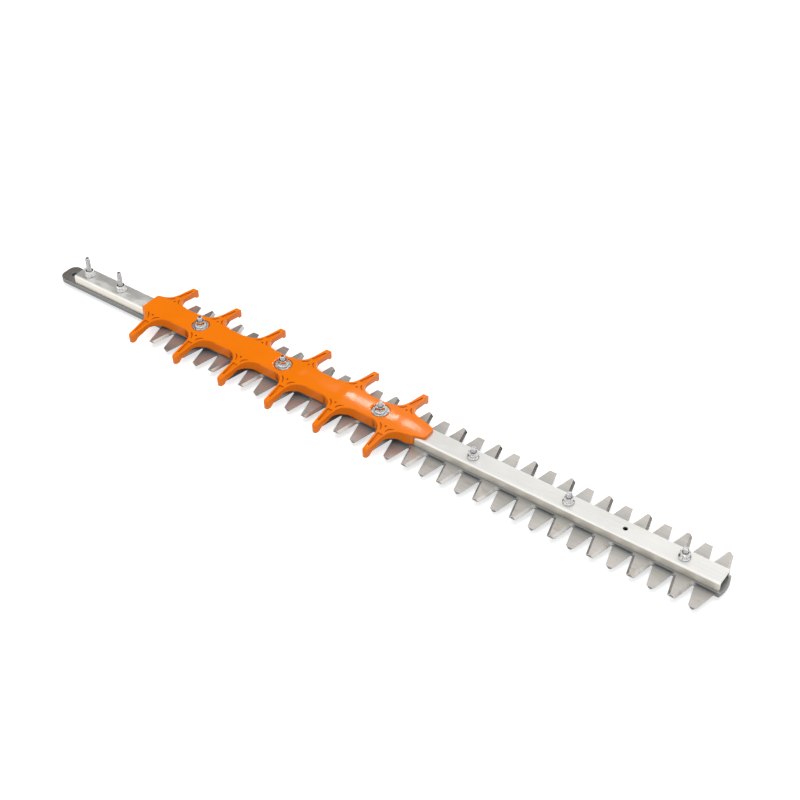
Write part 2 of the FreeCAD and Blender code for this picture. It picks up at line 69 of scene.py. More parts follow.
BAR = "fixed_bar"
SCREWS = sorted(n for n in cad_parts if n.startswith("collar_screw_"))
NUTS = sorted(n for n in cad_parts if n.startswith("flange_nut_"))
GUARD_WASHERS = sorted(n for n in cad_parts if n.startswith("guard_washer_"))
GLIDE_WASHERS = sorted(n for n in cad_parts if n.startswith("glide_washer_"))
NUT_SEAT, NUT_TOP = (corner.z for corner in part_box(NUTS[0]))
GUARD_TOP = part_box("finger_guard")[1].z

# How near two heights count as one, in metres
LEVEL = 1e-5
# Distances beyond the guard's side over which a finger's swell rises and fades, and its lean grows
SWELL_RISE = (0.003, 0.014)
SWELL_FADE = (0.018, 0.034)
LEAN_RISE = (0.008, 0.036)
# Share of the swell that fades away, and the width over which it ends at the finger's middle
SWELL_FADED = 0.75
SWELL_BLEND = 0.002
# How steeply the masks of edges, nooks and scuffs rise
EDGE_GAIN = 6.0
NOOK_GAIN = 1.6
SCUFF_GAIN = 9.0
# How strongly masks roughen, polish and dull a metal
ROUGHENED = 0.18
POLISHED = 0.5
DULLED = 0.9


class CutterBarSizes(bpy.types.PropertyGroup):
    """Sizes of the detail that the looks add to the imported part."""

    thread_radius: FloatProperty(
        name="Thread Radius", description="Crest radius of the studs", default=0.0025, unit="LENGTH")
    thread_pitch: FloatProperty(
        name="Thread Pitch", description="Rise of the thread per turn", default=0.0008, unit="LENGTH")
    thread_depth: FloatProperty(
        name="Thread Depth", description="Depth of the thread below its crest", default=0.00043,
        unit="LENGTH")
    thread_lead: FloatProperty(
        name="Thread Lead", description="Length of the tapered start of the thread", default=0.0009,
        unit="LENGTH")
    collar_radius: FloatProperty(
        name="Collar Radius", description="Radius of the bearing collar", default=0.0045, unit="LENGTH")
    head_radius: FloatProperty(
        name="Head Radius", description="Radius of the low screw head", default=0.007, unit="LENGTH")
    head_height: FloatProperty(
        name="Head Height", description="Height of the low screw head", default=0.003, unit="LENGTH")
    head_edge: FloatProperty(
        name="Head Edge", description="Rounding of the screw head's lower rim", default=0.0006, unit="LENGTH")
    socket_flats: FloatProperty(
        name="Socket Flats", description="Width of the hexagon socket across its flats", default=0.004,
        unit="LENGTH")
    socket_depth: FloatProperty(
        name="Socket Depth", description="Depth of the hexagon socket", default=0.0018, unit="LENGTH")
    collar_top: FloatProperty(
        name="Collar Top", description="Height of the collar's shoulder in the bar's frame", default=-0.002,
        unit="LENGTH")
    nut_flats: FloatProperty(
        name="Nut Flats", description="Width of the nuts across their flats", default=0.008, unit="LENGTH")
    nut_flange: FloatProperty(
        name="Nut Flange", description="Outer radius of the nuts' flange", default=0.0055, unit="LENGTH")
    guard_half: FloatProperty(
        name="Guard Half Width", description="Half the width of the guard's top", default=0.0127,
        unit="LENGTH")
    guard_crown: FloatProperty(
        name="Guard Crown", description="Rise of the guard's top from its sides to its middle",
        default=0.0005, unit="LENGTH")
    first_finger: FloatProperty(
        name="First Finger", description="Station of the guard's first fingers", default=0.080, unit="LENGTH")
    finger_pitch: FloatProperty(
        name="Finger Pitch", description="Distance from finger to finger", default=0.057, unit="LENGTH")
    rib_height: FloatProperty(
        name="Rib Height", description="How proud the top stands between a pair of fingers", default=0.00022,
        unit="LENGTH")
    rib_reach: FloatProperty(
        name="Rib Reach", description="Half the width of the proud band", default=0.009, unit="LENGTH")
    crown_grid: FloatProperty(
        name="Crown Grid", description="Step of the grid that carries the guard's crown", default=0.003,
        unit="LENGTH")
    finger_middle: FloatProperty(
        name="Finger Middle", description="Middle of a finger, along the bar from its station",
        default=0.0027, unit="LENGTH")
    finger_swell: FloatProperty(
        name="Finger Swell", description="Extra width of each finger on its swept side", default=0.0022,
        unit="LENGTH")
    finger_lean: FloatProperty(
        name="Finger Lean", description="How far each fingertip leans to its swept side", default=0.0013,
        unit="LENGTH")
    turn_seed: IntProperty(
        name="Turn Seed", description="Seed for how far each nut and screw is turned", default=4, min=0)


class CutterBarFinishes(bpy.types.PropertyGroup):
    """Colours of the finishes."""

    guard_colour: FloatVectorProperty(
        name="Guard", description="Moulded plastic", subtype="COLOR", default=(0.97, 0.215, 0.002))
    steel_colour: FloatVectorProperty(
        name="Blade Steel", description="Ground and hardened steel", subtype="COLOR",
        default=(0.655, 0.62, 0.58))
    rail_colour: FloatVectorProperty(
        name="Rail", description="Drawn light alloy", subtype="COLOR", default=(0.95, 0.935, 0.90))
    zinc_colour: FloatVectorProperty(
        name="Zinc", description="Bright zinc plating", subtype="COLOR", default=(0.70, 0.705, 0.71))
    glide_colour: FloatVectorProperty(
        name="Glide Washers", description="Oiled spring steel", subtype="COLOR",
        default=(0.34, 0.325, 0.31))


class CutterBarStage(bpy.types.PropertyGroup):
    """Lamps, floor and camera."""

    softbox_power: FloatProperty(
        name="Softbox Power", description="Power of the small softbox behind the bar", default=2.2,
        unit="POWER")
    top_power: FloatProperty(
        name="Top Power", description="Power of the broad lamp overhead", default=16.0, unit="POWER")
    fill_level: FloatProperty(
        name="Fill Level", description="Even light from all round", default=0.58)
    floor_glow: FloatProperty(
        name="Floor Glow", description="Share of the floor's white that no shadow takes away", default=0.6)
    camera_lens: FloatProperty(
        name="Lens", description="Focal length in millimetres", default=63.86)
    camera_place: FloatVectorProperty(
        name="Camera Place", description="Where the camera stands", subtype="TRANSLATION", unit="LENGTH",
        default=(0.92248, -0.77951, 0.87589))


def sizes():
    """The sizes set for this scene."""
    return bpy.context.scene.cutter_bar_sizes


def finishes():
    """The colours set for this scene."""
    return bpy.context.scene.cutter_bar_finishes


def stage_values():
    """The lamps, floor and camera set for this scene."""
    return bpy.context.scene.cutter_bar_stage


# Small helpers for node trees

def add(tree, kind, **settings):
    """A new node with its settings."""
    node = tree.nodes.new(kind)
    for key, value in settings.items():
        setattr(node, key, value)
    return node


def put(tree, source, target):
    """Link an output to an input."""
    tree.links.new(source, target)


def math_node(tree, operation, first, second=None, clamp=False):
    """A Math node's output. The operands are sockets or numbers."""
    node = add(tree, "ShaderNodeMath", operation=operation, use_clamp=clamp)
    for index, operand in enumerate((first, second)):
        if operand is None:
            continue
        if isinstance(operand, (int, float)):
            node.inputs[index].default_value = operand
        else:
            put(tree, operand, node.inputs[index])
    return node.outputs[0]


def mixed(tree, factor, first, second):
    """A colour between two colours. Each is a socket or three numbers."""
    node = add(tree, "ShaderNodeMix", data_type="RGBA")
    put(tree, factor, node.inputs[0])
    for socket, colour in ((node.inputs[6], first), (node.inputs[7], second)):
        if isinstance(colour, bpy.types.NodeSocket):
            put(tree, colour, socket)
        else:
            socket.default_value = (*colour, 1.0)
    return node.outputs[2]


def spread(tree, value, low, high):
    """A value from 0 to 1 moved to the range from low to high."""
    node = add(tree, "ShaderNodeMapRange")
    put(tree, value, node.inputs[0])
    node.inputs[3].default_value = low
    node.inputs[4].default_value = high
    return node.outputs[0]


def spread_between(tree, value, low, high):
    """A value's range from low to high moved to 0 and 1, clamped."""
    node = add(tree, "ShaderNodeMapRange")
    put(tree, value, node.inputs[0])
    node.inputs[1].default_value = low
    node.inputs[2].default_value = high
    return node.outputs[0]


def shaded(colour, share):
    """A colour with its brightness multiplied."""
    return tuple(min(1.0, c * share) for c in colour)


def new_group(name, inputs, outputs):
    """A shader node group with named sockets. Gives the tree and its two end nodes."""
    tree = bpy.data.node_groups.new(name, "ShaderNodeTree")
    for label, kind, value in inputs:
        socket = tree.interface.new_socket(name=label, in_out="INPUT", socket_type=kind)
        socket.default_value = value
    for label, kind in outputs:
        tree.interface.new_socket(name=label, in_out="OUTPUT", socket_type=kind)
    return tree, add(tree, "NodeGroupInput"), add(tree, "NodeGroupOutput")


def drawn_grain_group():
    """Fine lines along the metal, with broad clouds of tone."""
    if "Drawn Grain" in bpy.data.node_groups:
        return bpy.data.node_groups["Drawn Grain"]
    tree, start, end = new_group(
        "Drawn Grain",
        [("Line Scale", "NodeSocketVector", (60.0, 2600.0, 900.0)), ("Cloud Scale", "NodeSocketFloat", 40.0)],
        [("Lines", "NodeSocketFloat"), ("Clouds", "NodeSocketFloat")],
    )
    place = add(tree, "ShaderNodeTexCoord")
    stretch = add(tree, "ShaderNodeVectorMath", operation="MULTIPLY")
    put(tree, place.outputs["Object"], stretch.inputs[0])
    put(tree, start.outputs["Line Scale"], stretch.inputs[1])
    lines = add(tree, "ShaderNodeTexNoise")
    lines.inputs["Scale"].default_value = 1.0
    lines.inputs["Detail"].default_value = 3.0
    put(tree, stretch.outputs[0], lines.inputs["Vector"])
    clouds = add(tree, "ShaderNodeTexNoise")
    clouds.inputs["Detail"].default_value = 4.0
    put(tree, place.outputs["Object"], clouds.inputs["Vector"])
    put(tree, start.outputs["Cloud Scale"], clouds.inputs["Scale"])
    put(tree, lines.outputs[0], end.inputs["Lines"])
    put(tree, clouds.outputs[0], end.inputs["Clouds"])
    return tree


def soft_edge_group():
    """Rounded-looking edges: the normal turned round them, and a mask of where they are."""
    if "Soft Edge" in bpy.data.node_groups:
        return bpy.data.node_groups["Soft Edge"]
    tree, start, end = new_group(
        "Soft Edge",
        [("Radius", "NodeSocketFloat", 0.0003)],
        [("Normal", "NodeSocketVector"), ("Edge", "NodeSocketFloat")],
    )
    bevel = add(tree, "ShaderNodeBevel", samples=6)
    put(tree, start.outputs["Radius"], bevel.inputs["Radius"])
    facing = add(tree, "ShaderNodeNewGeometry")
    across = add(tree, "ShaderNodeVectorMath", operation="DOT_PRODUCT")
    put(tree, bevel.outputs[0], across.inputs[0])
    put(tree, facing.outputs["Normal"], across.inputs[1])
    turned_away = math_node(tree, "SUBTRACT", 1.0, across.outputs["Value"])
    edge = math_node(tree, "MULTIPLY", turned_away, EDGE_GAIN, clamp=True)
    put(tree, bevel.outputs[0], end.inputs["Normal"])
    put(tree, edge, end.inputs["Edge"])
    return tree


def upright_faces_group():
    """A mask of the sheared and sawn sides: faces that stand upright in the bar's frame."""
    if "Upright Faces" in bpy.data.node_groups:
        return bpy.data.node_groups["Upright Faces"]
    tree, start, end = new_group(
        "Upright Faces", [("Limit", "NodeSocketFloat", 0.4)], [("Sides", "NodeSocketFloat")])
    facing = add(tree, "ShaderNodeNewGeometry")
    parts = add(tree, "ShaderNodeSeparateXYZ")
    put(tree, facing.outputs["Normal"], parts.inputs[0])
    level = math_node(tree, "DIVIDE", math_node(tree, "ABSOLUTE", parts.outputs["Z"]), start.outputs["Limit"])
    put(tree, math_node(tree, "SUBTRACT", 1.0, level, clamp=True), end.inputs["Sides"])
    return tree


def ground_bevels_group():
    """A mask of the ground bevels: faces that lean at the grinding angle, given as the normal's rise."""
    if "Ground Bevels" in bpy.data.node_groups:
        return bpy.data.node_groups["Ground Bevels"]
    tree, start, end = new_group(
        "Ground Bevels", [("Rise", "NodeSocketFloat", 0.69), ("Spread", "NodeSocketFloat", 0.16)],
        [("Bevel", "NodeSocketFloat")])
    facing = add(tree, "ShaderNodeNewGeometry")
    parts = add(tree, "ShaderNodeSeparateXYZ")
    put(tree, facing.outputs["Normal"], parts.inputs[0])
    off = math_node(tree, "SUBTRACT", math_node(tree, "ABSOLUTE", parts.outputs["Z"]), start.outputs["Rise"])
    off = math_node(tree, "DIVIDE", math_node(tree, "ABSOLUTE", off), start.outputs["Spread"])
    put(tree, math_node(tree, "SUBTRACT", 1.0, off, clamp=True), end.inputs["Bevel"])
    return tree


def nook_shade_group():
    """A mask of the nooks, from ambient occlusion, for painting shade into them: thread roots and the corner
    of a seat.
    """
    if "Nook Shade" in bpy.data.node_groups:
        return bpy.data.node_groups["Nook Shade"]
    tree, start, end = new_group(
        "Nook Shade", [("Reach", "NodeSocketFloat", 0.001)], [("Nook", "NodeSocketFloat")])
    shade = add(tree, "ShaderNodeAmbientOcclusion", samples=8)
    put(tree, start.outputs["Reach"], shade.inputs["Distance"])
    closed = math_node(tree, "SUBTRACT", 1.0, shade.outputs["AO"])
    put(tree, math_node(tree, "MULTIPLY", closed, NOOK_GAIN, clamp=True), end.inputs["Nook"])
    return tree


def scuffs_group():
    """Patches of scuffing: a mask of ragged spots drawn out along the bar."""
    if "Scuffs" in bpy.data.node_groups:
        return bpy.data.node_groups["Scuffs"]
    tree, start, end = new_group(
        "Scuffs",
        [("Spread", "NodeSocketVector", (22.0, 60.0, 60.0)), ("Cover", "NodeSocketFloat", 0.6)],
        [("Scuff", "NodeSocketFloat")],
    )
    place = add(tree, "ShaderNodeTexCoord")
    stretch = add(tree, "ShaderNodeVectorMath", operation="MULTIPLY")
    put(tree, place.outputs["Object"], stretch.inputs[0])
    put(tree, start.outputs["Spread"], stretch.inputs[1])
    spots = add(tree, "ShaderNodeTexNoise")
    spots.inputs["Scale"].default_value = 1.0
    spots.inputs["Detail"].default_value = 6.0
    spots.inputs["Roughness"].default_value = 0.62
    put(tree, stretch.outputs[0], spots.inputs["Vector"])
    past = math_node(tree, "SUBTRACT", spots.outputs[0], start.outputs["Cover"])
    put(tree, math_node(tree, "MULTIPLY", past, SCUFF_GAIN, clamp=True), end.inputs["Scuff"])
    return tree


def empty_tree(owner):
    """The emptied node tree of a material or a world."""
    owner.use_nodes = True
    owner.node_tree.nodes.clear()
    return owner.node_tree


def new_material(name):
    """A node material with only a shader, linked to the output."""
    material = bpy.data.materials.new(name)
    tree = empty_tree(material)
    shader = add(tree, "ShaderNodeBsdfPrincipled")
    put(tree, shader.outputs[0], add(tree, "ShaderNodeOutputMaterial").inputs[0])
    return material, tree, shader


def use_group(tree, group, **values):
    """A group placed in a material with its own values; underscores stand for spaces."""
    node = add(tree, "ShaderNodeGroup", node_tree=group)
    for key, value in values.items():
        node.inputs[key.replace("_", " ")].default_value = value
    return node


def bumped(tree, height, strength, distance, normal):
    """A Bump node's normal over another normal."""
    node = add(tree, "ShaderNodeBump")
    node.inputs["Strength"].default_value = strength
    node.inputs["Distance"].default_value = distance
    put(tree, height, node.inputs["Height"])
    put(tree, normal, node.inputs["Normal"])
    return node.outputs[0]


class Metal:
    """A worked metal: drawn lines in colour, roughness and height, clouds of tone, bright worn edges."""

    def __init__(self, name, colour, line_scale, cloud_scale, edge_radius, grain_depth, contrast, edge_gain):
        self.material, self.tree, self.shader = new_material(name)
        grain = use_group(self.tree, drawn_grain_group(), Line_Scale=line_scale, Cloud_Scale=cloud_scale)
        edges = use_group(self.tree, soft_edge_group(), Radius=edge_radius)
        lines, clouds = grain.outputs["Lines"], grain.outputs["Clouds"]
        line_share = 0.55
        tone = math_node(self.tree, "ADD", math_node(self.tree, "MULTIPLY", lines, line_share),
                         math_node(self.tree, "MULTIPLY", clouds, 1.0 - line_share))
        self.tone = spread_between(self.tree, tone, 0.34, 0.66)
        body = mixed(self.tree, self.tone, shaded(colour, 1.0 - contrast), shaded(colour, 1.0 + contrast))
        self.colour = mixed(self.tree, edges.outputs["Edge"], body, shaded(colour, edge_gain))
        put(self.tree, bumped(self.tree, lines, 0.35, grain_depth, edges.outputs["Normal"]),
            self.shader.inputs["Normal"])

    def stained(self, mask, strength, colour):
        """Lay a colour over the metal where a mask says."""
        self.colour = mixed(self.tree, math_node(self.tree, "MULTIPLY", mask, strength), self.colour, colour)

    def finished(self, smooth, coarse, rougher=None, polished=None, dull=None):
        """Roughness between two values, raised or lowered by masks. A dull film hides the bare metal."""
        rough = spread(self.tree, self.tone, coarse, smooth)
        if rougher is not None:
            rough = math_node(self.tree, "ADD", rough, math_node(self.tree, "MULTIPLY", rougher, ROUGHENED))
        if polished is not None:
            lost = math_node(self.tree, "MULTIPLY", polished, POLISHED)
            kept = math_node(self.tree, "SUBTRACT", 1.0, lost)
            rough = math_node(self.tree, "MULTIPLY", rough, kept)
        put(self.tree, self.colour, self.shader.inputs["Base Color"])
        put(self.tree, rough, self.shader.inputs["Roughness"])
        self.shader.inputs["Metallic"].default_value = 1.0
        if dull is not None:
            bare = math_node(self.tree, "SUBTRACT", 1.0, math_node(self.tree, "MULTIPLY", dull, DULLED))
            put(self.tree, bare, self.shader.inputs["Metallic"])
        return self.material


def blade_steel():
    """Ground flats, bright bevels and faint sap stains, with painted shade on the sheared upright sides and
    near the guard.
    """
    colour = finishes().steel_colour
    steel = Metal("blade_steel", colour, line_scale=(90.0, 2400.0, 1200.0), cloud_scale=34.0,
                  edge_radius=0.00025, grain_depth=0.00002, contrast=0.12, edge_gain=1.25)
    sides = use_group(steel.tree, upright_faces_group(), Limit=0.5).outputs["Sides"]
    bevel = use_group(steel.tree, ground_bevels_group()).outputs["Bevel"]
    sap = use_group(steel.tree, scuffs_group(), Spread=(45.0, 80.0, 80.0), Cover=0.56).outputs["Scuff"]
    nook = use_group(steel.tree, nook_shade_group(), Reach=0.021).outputs["Nook"]
    steel.stained(bevel, 0.8, shaded(colour, 1.3))
    steel.stained(sap, 0.35, (0.32, 0.25, 0.17))
    # Painted shade: the upright sides are darkened to about a third of the steel's colour.
    steel.stained(sides, 0.75, shaded(colour, 0.36))
    # Painted shade: within 21 mm of other parts, as under the guard, the steel turns a dark bluish grey, and
    # there it is also made less metallic.
    steel.stained(nook, 0.9, (0.105, 0.138, 0.16))
    return steel.finished(smooth=0.32, coarse=0.45, rougher=sides, polished=bevel, dull=nook)


def rail_alloy():
    """Drawn light alloy with milky scuffs along its top and sides, and painted shade on its upright sides."""
    colour = finishes().rail_colour
    alloy = Metal("rail_alloy", colour, line_scale=(14.0, 2000.0, 2000.0), cloud_scale=18.0,
                  edge_radius=0.0004, grain_depth=0.00002, contrast=0.07, edge_gain=1.15)
    scuffs = use_group(alloy.tree, scuffs_group(), Spread=(26.0, 80.0, 80.0), Cover=0.505).outputs["Scuff"]
    sides = use_group(alloy.tree, upright_faces_group(), Limit=0.5).outputs["Sides"]
    alloy.stained(scuffs, 0.8, (1.0, 0.99, 0.97))
    # Painted shade: the upright sides are darkened to a dull cream.
    alloy.stained(sides, 0.85, (0.68, 0.64, 0.565))
    return alloy.finished(smooth=0.46, coarse=0.58, rougher=scuffs)


def plated(name, nook_shade_reach, nook_shade_colour):
    """Bright plating, mottled, with painted shade darkening the nooks in the threads and under the nuts."""
    zinc = Metal(name, finishes().zinc_colour, line_scale=(900.0, 900.0, 500.0), cloud_scale=620.0,
                 edge_radius=0.00012, grain_depth=0.00001, contrast=0.48, edge_gain=1.4)
    nook = use_group(zinc.tree, nook_shade_group(), Reach=nook_shade_reach).outputs["Nook"]
    # Painted shade: the nooks take the colour given for their shade.
    zinc.stained(nook, 0.9, nook_shade_colour)
    return zinc


def zinc_plating():
    """The screws' and nuts' smooth plating."""
    # Painted shade: nooks within 1.4 mm turn nearly black.
    zinc = plated("zinc_plating", nook_shade_reach=0.0014, nook_shade_colour=(0.05, 0.048, 0.045))
    return zinc.finished(smooth=0.05, coarse=0.14)


def washer_plating():
    """The washers' plating, dulled by turning nuts, with pale matte flecks and painted shade in its nooks."""
    # Painted shade: nooks within 0.5 mm turn a pale brown-grey.
    zinc = plated("washer_plating", nook_shade_reach=0.0005, nook_shade_colour=(0.52, 0.45, 0.40))
    flecks = use_group(zinc.tree, scuffs_group(), Spread=(620.0, 620.0, 620.0), Cover=0.5).outputs["Scuff"]
    zinc.stained(flecks, 0.9, (0.90, 0.89, 0.87))
    return zinc.finished(smooth=0.30, coarse=0.48, dull=flecks)


def glide_steel():
    """Oiled spring steel, with painted shade darkening it at its rims."""
    colour = finishes().glide_colour
    steel = Metal("glide_steel", colour, line_scale=(800.0, 800.0, 800.0), cloud_scale=90.0,
                  edge_radius=0.0002, grain_depth=0.00002, contrast=0.12, edge_gain=1.3)
    nook = use_group(steel.tree, nook_shade_group(), Reach=0.001).outputs["Nook"]
    # Painted shade: nooks within 1 mm are darkened towards black.
    steel.stained(nook, 0.6, (0.05, 0.047, 0.043))
    return steel.finished(smooth=0.34, coarse=0.48)


def guard_plastic():
    """Glossy moulded plastic with faint flow clouds, a very fine moulding texture, paler worn edges and
    painted shade in its recesses.
    """
    material, tree, shader = new_material("guard_plastic")
    colour = finishes().guard_colour
    grain = use_group(tree, drawn_grain_group(), Line_Scale=(2600.0, 2600.0, 2600.0), Cloud_Scale=26.0)
    edges = use_group(tree, soft_edge_group(), Radius=0.0004)
    clouds = spread_between(tree, grain.outputs["Clouds"], 0.3, 0.7)
    body = mixed(tree, clouds, shaded(colour, 0.96), shaded(colour, 1.03))
    pale = tuple(c + 0.03 for c in colour)
    worn = math_node(tree, "MULTIPLY", edges.outputs["Edge"], 0.4)
    nook = use_group(tree, nook_shade_group(), Reach=0.003).outputs["Nook"]
    body = mixed(tree, worn, body, pale)
    # Painted shade: sunk marks and recesses within 3 mm turn dark red-brown.
    put(tree, mixed(tree, math_node(tree, "MULTIPLY", nook, 0.8), body, (0.40, 0.048, 0.002)),
        shader.inputs["Base Color"])
    put(tree, spread(tree, clouds, 0.09, 0.14), shader.inputs["Roughness"])
    put(tree, bumped(tree, grain.outputs["Lines"], 0.10, 0.00002, edges.outputs["Normal"]),
        shader.inputs["Normal"])
    shader.inputs["IOR"].default_value = 1.43
    shader.inputs["Specular IOR Level"].default_value = 0.22
    return material


# Meshes

def new_piece(name, mesh):
    """An object at the origin for a finished mesh."""
    piece = bpy.data.objects.new(name, mesh)
    bpy.context.scene.collection.objects.link(piece)
    return piece


def remade(mesh, change):
    """Change a mesh in place through a bmesh."""
    work = bmesh.new()
    work.from_mesh(mesh)
    change(work)
    work.to_mesh(mesh)
    work.free()
    return mesh


def finish_normals(mesh, angle):
    """Outward faces, smooth but for edges sharper than the angle in degrees."""
    remade(mesh, lambda work: bmesh.ops.recalc_face_normals(work, faces=work.faces))
    mesh.shade_smooth()
    mesh.set_sharp_from_angle(angle=math.radians(angle))


def ring_mesh(name, rings, closed):
    """A mesh through rings of points, its ends capped, or joined to each other where closed."""
    work = bmesh.new()
    loops = [[work.verts.new(p) for p in ring] for ring in rings]
    pairs = list(zip(loops, loops[1:]))
    if closed:
        pairs.append((loops[-1], loops[0]))
    else:
        work.faces.new(loops[0])
        work.faces.new(loops[-1])
    for low, high in pairs:
        for i in range(len(low)):
            j = (i + 1) % len(low)
            work.faces.new((low[i], low[j], high[j], high[i]))
    mesh = bpy.data.meshes.new(name)
    work.to_mesh(mesh)
    work.free()
    finish_normals(mesh, 28.0)
    return mesh


def ring(count, height, radius_at):
    """One ring of points whose radius follows the angle."""
    angles = [2 * math.pi * i / count for i in range(count)]
    return [(math.cos(a) * radius_at(a), math.sin(a) * radius_at(a), height) for a in angles]


def hexagon_radius(flats, angle):
    """Distance from a hexagon's centre to its outline at an angle."""
    sector = math.radians(60)
    return flats / 2 / math.cos((angle % sector) - sector / 2)


def points_mesh(name, places):
    """Bare points for pieces to stand on."""
    mesh = bpy.data.meshes.new(name)
    mesh.from_pydata(places, [], [])
    return mesh


def station(node):
    """Where a fastener's axis meets the bar's datum height."""
    low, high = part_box(node)
    return ((low.x + high.x) / 2, (low.y + high.y) / 2, 0.0)


def set_along_bar_tree():
    """Stands copies of a piece on points, each turned by its own angle."""
    if "Set Along Bar" in bpy.data.node_groups:
        return bpy.data.node_groups["Set Along Bar"]
    tree = bpy.data.node_groups.new("Set Along Bar", "GeometryNodeTree")
    face = tree.interface
    for label, kind in (("Points", "NodeSocketGeometry"), ("Piece", "NodeSocketObject"),
                        ("Seed", "NodeSocketInt"), ("Finish", "NodeSocketMaterial")):
        face.new_socket(name=label, in_out="INPUT", socket_type=kind)
    face.new_socket(name="Pieces", in_out="OUTPUT", socket_type="NodeSocketGeometry")
    start, end = add(tree, "NodeGroupInput"), add(tree, "NodeGroupOutput")
    piece = add(tree, "GeometryNodeObjectInfo")
    turn = add(tree, "FunctionNodeRandomValue", data_type="FLOAT")
    turn.inputs[3].default_value = math.tau
    around = add(tree, "ShaderNodeCombineXYZ")
    stand = add(tree, "GeometryNodeInstanceOnPoints")
    real = add(tree, "GeometryNodeRealizeInstances")
    paint = add(tree, "GeometryNodeSetMaterial")
    put(tree, start.outputs["Piece"], piece.inputs["Object"])
    put(tree, start.outputs["Seed"], turn.inputs["Seed"])
    put(tree, turn.outputs[1], around.inputs["Z"])
    put(tree, start.outputs["Points"], stand.inputs["Points"])
    put(tree, piece.outputs["Geometry"], stand.inputs["Instance"])
    put(tree, around.outputs[0], stand.inputs["Rotation"])
    put(tree, stand.outputs[0], real.inputs[0])
    put(tree, real.outputs[0], paint.inputs[0])
    put(tree, start.outputs["Finish"], paint.inputs["Material"])
    put(tree, paint.outputs[0], end.inputs[0])
    return tree


def threaded_stud_tree():
    """Threaded studs on points: a cylinder whose radius follows the thread's turns and its tapered start."""
    if "Threaded Studs" in bpy.data.node_groups:
        return bpy.data.node_groups["Threaded Studs"]
    tree = bpy.data.node_groups.new("Threaded Studs", "GeometryNodeTree")
    face = tree.interface
    face.new_socket(name="Points", in_out="INPUT", socket_type="NodeSocketGeometry")
    for label in ("Radius", "Pitch", "Depth", "Lead", "Foot", "Top"):
        face.new_socket(name=label, in_out="INPUT", socket_type="NodeSocketFloat")
    face.new_socket(name="Finish", in_out="INPUT", socket_type="NodeSocketMaterial")
    face.new_socket(name="Studs", in_out="OUTPUT", socket_type="NodeSocketGeometry")
    start, end = add(tree, "NodeGroupInput"), add(tree, "NodeGroupOutput")
    value = start.outputs
    length = math_node(tree, "SUBTRACT", value["Top"], value["Foot"])
    steps_per_turn, sides = 8.0, 32
    turns = math_node(tree, "DIVIDE", length, value["Pitch"])
    steps = math_node(tree, "CEIL", math_node(tree, "MULTIPLY", turns, steps_per_turn))
    blank = add(tree, "GeometryNodeMeshCylinder", fill_type="NGON")
    blank.inputs["Vertices"].default_value = sides
    put(tree, steps, blank.inputs["Side Segments"])
    put(tree, value["Radius"], blank.inputs["Radius"])
    put(tree, length, blank.inputs["Depth"])
    middle = math_node(tree, "DIVIDE", math_node(tree, "ADD", value["Top"], value["Foot"]), 2.0)
    lift = add(tree, "ShaderNodeCombineXYZ")
    put(tree, middle, lift.inputs["Z"])
    raised = add(tree, "GeometryNodeTransform")
    put(tree, blank.outputs["Mesh"], raised.inputs["Geometry"])
    put(tree, lift.outputs[0], raised.inputs["Translation"])
    place = add(tree, "ShaderNodeSeparateXYZ")
    put(tree, add(tree, "GeometryNodeInputPosition").outputs[0], place.inputs[0])
    x, y, z = place.outputs
    turn = math_node(tree, "DIVIDE", math_node(tree, "ARCTAN2", y, x), math.tau)
    phase = math_node(tree, "FRACT", math_node(
        tree, "SUBTRACT", math_node(tree, "DIVIDE", z, value["Pitch"]), turn))
    wave = math_node(tree, "ABSOLUTE", math_node(tree, "SUBTRACT", phase, 0.5))
    sunk = math_node(tree, "MULTIPLY", math_node(tree, "MULTIPLY", wave, 2.0), value["Depth"])
    crest = math_node(tree, "SUBTRACT", value["Radius"], sunk)
    taper = math_node(tree, "ADD", math_node(tree, "SUBTRACT", value["Radius"], value["Lead"]),
                      math_node(tree, "SUBTRACT", value["Top"], z))
    share = math_node(tree, "DIVIDE", math_node(tree, "MINIMUM", crest, taper), value["Radius"])
    moved = add(tree, "ShaderNodeCombineXYZ")
    put(tree, math_node(tree, "MULTIPLY", x, share), moved.inputs["X"])
    put(tree, math_node(tree, "MULTIPLY", y, share), moved.inputs["Y"])
    put(tree, z, moved.inputs["Z"])
    cut = add(tree, "GeometryNodeSetPosition")
    put(tree, raised.outputs[0], cut.inputs["Geometry"])
    put(tree, moved.outputs[0], cut.inputs["Position"])
    stand = add(tree, "GeometryNodeInstanceOnPoints")
    put(tree, value["Points"], stand.inputs["Points"])
    put(tree, cut.outputs[0], stand.inputs["Instance"])
    real = add(tree, "GeometryNodeRealizeInstances")
    paint = add(tree, "GeometryNodeSetMaterial")
    put(tree, stand.outputs[0], real.inputs[0])
    put(tree, real.outputs[0], paint.inputs[0])
    put(tree, value["Finish"], paint.inputs["Material"])
    put(tree, paint.outputs[0], end.inputs[0])
    return tree


def grown_mesh(name, base, tree, values):
    """The plain mesh that a node tree grows on a base mesh."""
    holder = new_piece(name, base)
    modifier = holder.modifiers.new("grow", "NODES")
    modifier.node_group = tree
    for item in tree.interface.items_tree:
        if item.in_out == "INPUT" and item.name in values:
            modifier[item.identifier] = values[item.name]
    depsgraph = bpy.context.evaluated_depsgraph_get()
    mesh = bpy.data.meshes.new_from_object(
        holder.evaluated_get(depsgraph), preserve_all_data_layers=True, depsgraph=depsgraph)
    mesh.name = name
    holder.modifiers.remove(modifier)
    bpy.data.objects.remove(holder)
    if not mesh.polygons:
        raise RuntimeError(name + " came out empty")
    return mesh


